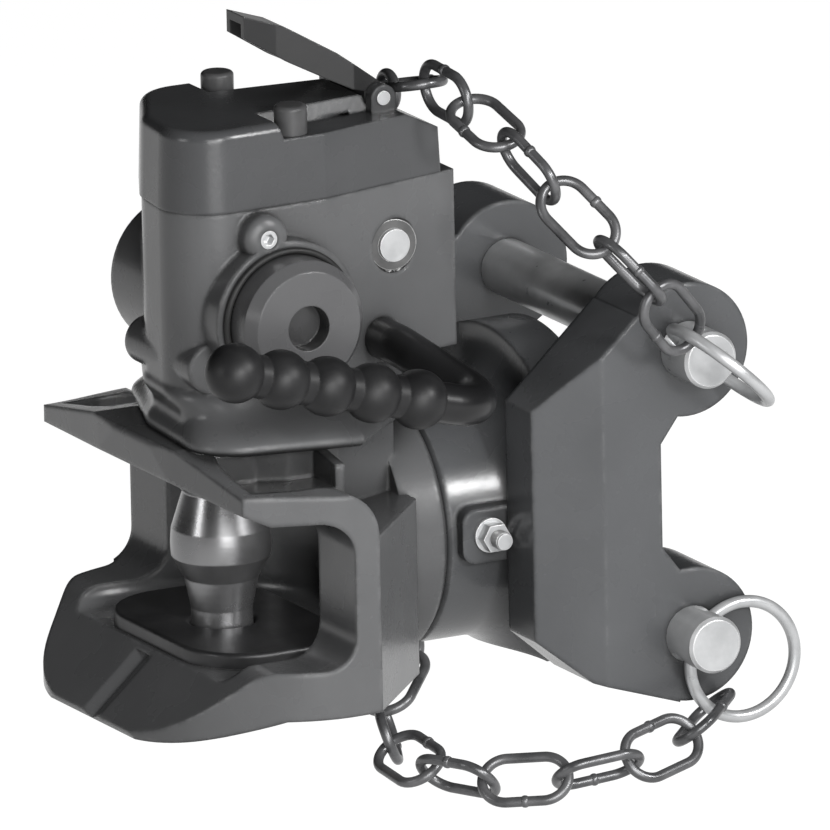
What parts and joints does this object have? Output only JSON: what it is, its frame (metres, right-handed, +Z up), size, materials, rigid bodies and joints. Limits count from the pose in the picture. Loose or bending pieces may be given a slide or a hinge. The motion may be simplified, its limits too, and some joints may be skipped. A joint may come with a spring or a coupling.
{
  "type": "pin trailer coupling",
  "caption": "Automatic pin coupling with a cast jaw, lifting hand lever and capped spring housing, swivelling on a height-adjustable bracket held by chained cross pins",
  "frame": {"origin": "on the coupling pin's axis, at the height of its crown in the middle of the jaw", "axes": "+X from the jaw's mouth towards the tractor, -Y towards the hand lever, +Z up"},
  "size_m": [0.3269, 0.3015, 0.3741],
  "materials": {
    "painted_casting": "semi-gloss paint over sand-cast iron",
    "painted_cap": "semi-gloss paint",
    "painted_bracket": "semi-gloss paint over cast steel",
    "painted_plug": "semi-gloss paint, turned",
    "painted_lever": "dark paint",
    "wear_plate": "hardened plate, lightly worn",
    "hardened_pin": "hardened and phosphated, turned",
    "bush": "machined bronze",
    "seal": "matt",
    "grip": "soft moulded",
    "indicator": "smooth",
    "zinc_steel": "bright zinc plated",
    "spring_steel": "oiled",
    "chain_steel": "burnished, galvanised wire"
  },
  "bodies": {
    "bracket": {"bearing_bracket": "painted_bracket", "front_hub_bush": "bush", "rear_hub_bush": "bush", "brake_stud": "zinc_steel", "brake_washer": "zinc_steel", "brake_nut": "zinc_steel", "brake_shoe": "zinc_steel", "lower_chain_eye": "chain_steel", "lower_link_1": "chain_steel", "lower_link_2": "chain_steel", "lower_link_3": "chain_steel", "lower_link_4": "chain_steel", "lower_link_5": "chain_steel", "lower_link_6": "chain_steel", "lower_link_7": "chain_steel", "lower_link_8": "chain_steel"},
    "head": {"head_casting": "painted_casting", "wear_plate": "wear_plate", "lower_pin_bush": "bush", "upper_pin_bush": "bush", "cap": "painted_cap", "near_barrel_plug": "painted_plug", "far_barrel_plug": "painted_plug", "near_seal_ring": "seal", "far_seal_ring": "seal", "latch_shaft": "zinc_steel", "latch_circlips": "spring_steel", "stop_screw": "zinc_steel", "release_pin": "zinc_steel", "upper_chain_eye": "chain_steel", "tail_washer": "zinc_steel", "castle_nut": "zinc_steel", "cotter_pin": "zinc_steel", "closing_spring": "spring_steel", "upper_link_1": "chain_steel", "upper_link_2": "chain_steel", "upper_link_3": "chain_steel", "upper_link_4": "chain_steel", "upper_link_5": "chain_steel", "upper_link_6": "chain_steel", "upper_link_7": "chain_steel"},
    "pin": {"coupling_pin": "hardened_pin"},
    "lever": {"hand_lever": "painted_lever", "lever_grip": "grip", "lift_arm": "hardened_pin"},
    "near_indicator": {"near_indicator_pin": "indicator"},
    "far_indicator": {"far_indicator_pin": "indicator"},
    "release": {"release_lever": "painted_lever"},
    "upper_hitch_pin": {"upper_cross_pin": "zinc_steel"},
    "lower_hitch_pin": {"lower_cross_pin": "zinc_steel"},
    "upper_ring": {"upper_pull_ring": "zinc_steel"},
    "lower_ring": {"lower_pull_ring": "zinc_steel"}
  },
  "joints": [
    {"name": "head_swivel", "type": "hinge", "parent": "bracket", "child": "head", "pos_m": [0.13, 0, 0], "axis": [1, 0, 0], "range_deg": [-45, 45], "deforming": ["upper_link_1", "upper_link_2", "upper_link_3", "upper_link_4", "upper_link_5", "upper_link_6", "upper_link_7", "lower_link_1", "lower_link_2", "lower_link_3", "lower_link_4", "lower_link_5", "lower_link_6", "lower_link_7", "lower_link_8"]},
    {"name": "hand_lever", "type": "hinge", "parent": "head", "child": "lever", "pos_m": [0.068, 0, 0.102], "axis": [0, 1, 0], "range_deg": [0, 81.98]},
    {"name": "pin_lift", "type": "slide", "parent": "head", "child": "pin", "axis": [0, 0, 1], "range_m": [0, 0.084], "deforming": ["closing_spring"]},
    {"name": "near_indicator_sink", "type": "slide", "parent": "head", "child": "near_indicator", "axis": [0, 0, 1], "range_m": [-0.007, 0]},
    {"name": "far_indicator_sink", "type": "slide", "parent": "head", "child": "far_indicator", "axis": [0, 0, 1], "range_m": [-0.007, 0]},
    {"name": "release_lever", "type": "hinge", "parent": "head", "child": "release", "pos_m": [0.079, 0, 0.216], "axis": [0, 1, 0], "range_deg": [0, 25]},
    {"name": "upper_pin_pull", "type": "slide", "parent": "bracket", "child": "upper_hitch_pin", "axis": [0, -1, 0], "range_m": [0, 0.12]},
    {"name": "lower_pin_pull", "type": "slide", "parent": "bracket", "child": "lower_hitch_pin", "axis": [0, -1, 0], "range_m": [0, 0.12]},
    {"name": "upper_ring_swing", "type": "hinge", "parent": "upper_hitch_pin", "child": "upper_ring", "pos_m": [0.195, -0.1195, 0.0945], "axis": [-0.7314, 0, 0.682], "range_deg": [-75, 75]},
    {"name": "lower_ring_swing", "type": "hinge", "parent": "lower_hitch_pin", "child": "lower_ring", "pos_m": [0.195, -0.1195, -0.047], "axis": [0.515, 0, 0.8572], "range_deg": [-150, 0]}
  ],
  "couplings": [
    {"joint": "pin_lift", "follows": "hand_lever", "m_per_rad": 0.058672},
    {"joint": "near_indicator_sink", "follows": "hand_lever", "m_per_rad": -0.004889},
    {"joint": "far_indicator_sink", "follows": "hand_lever", "m_per_rad": -0.004889}
  ]
}
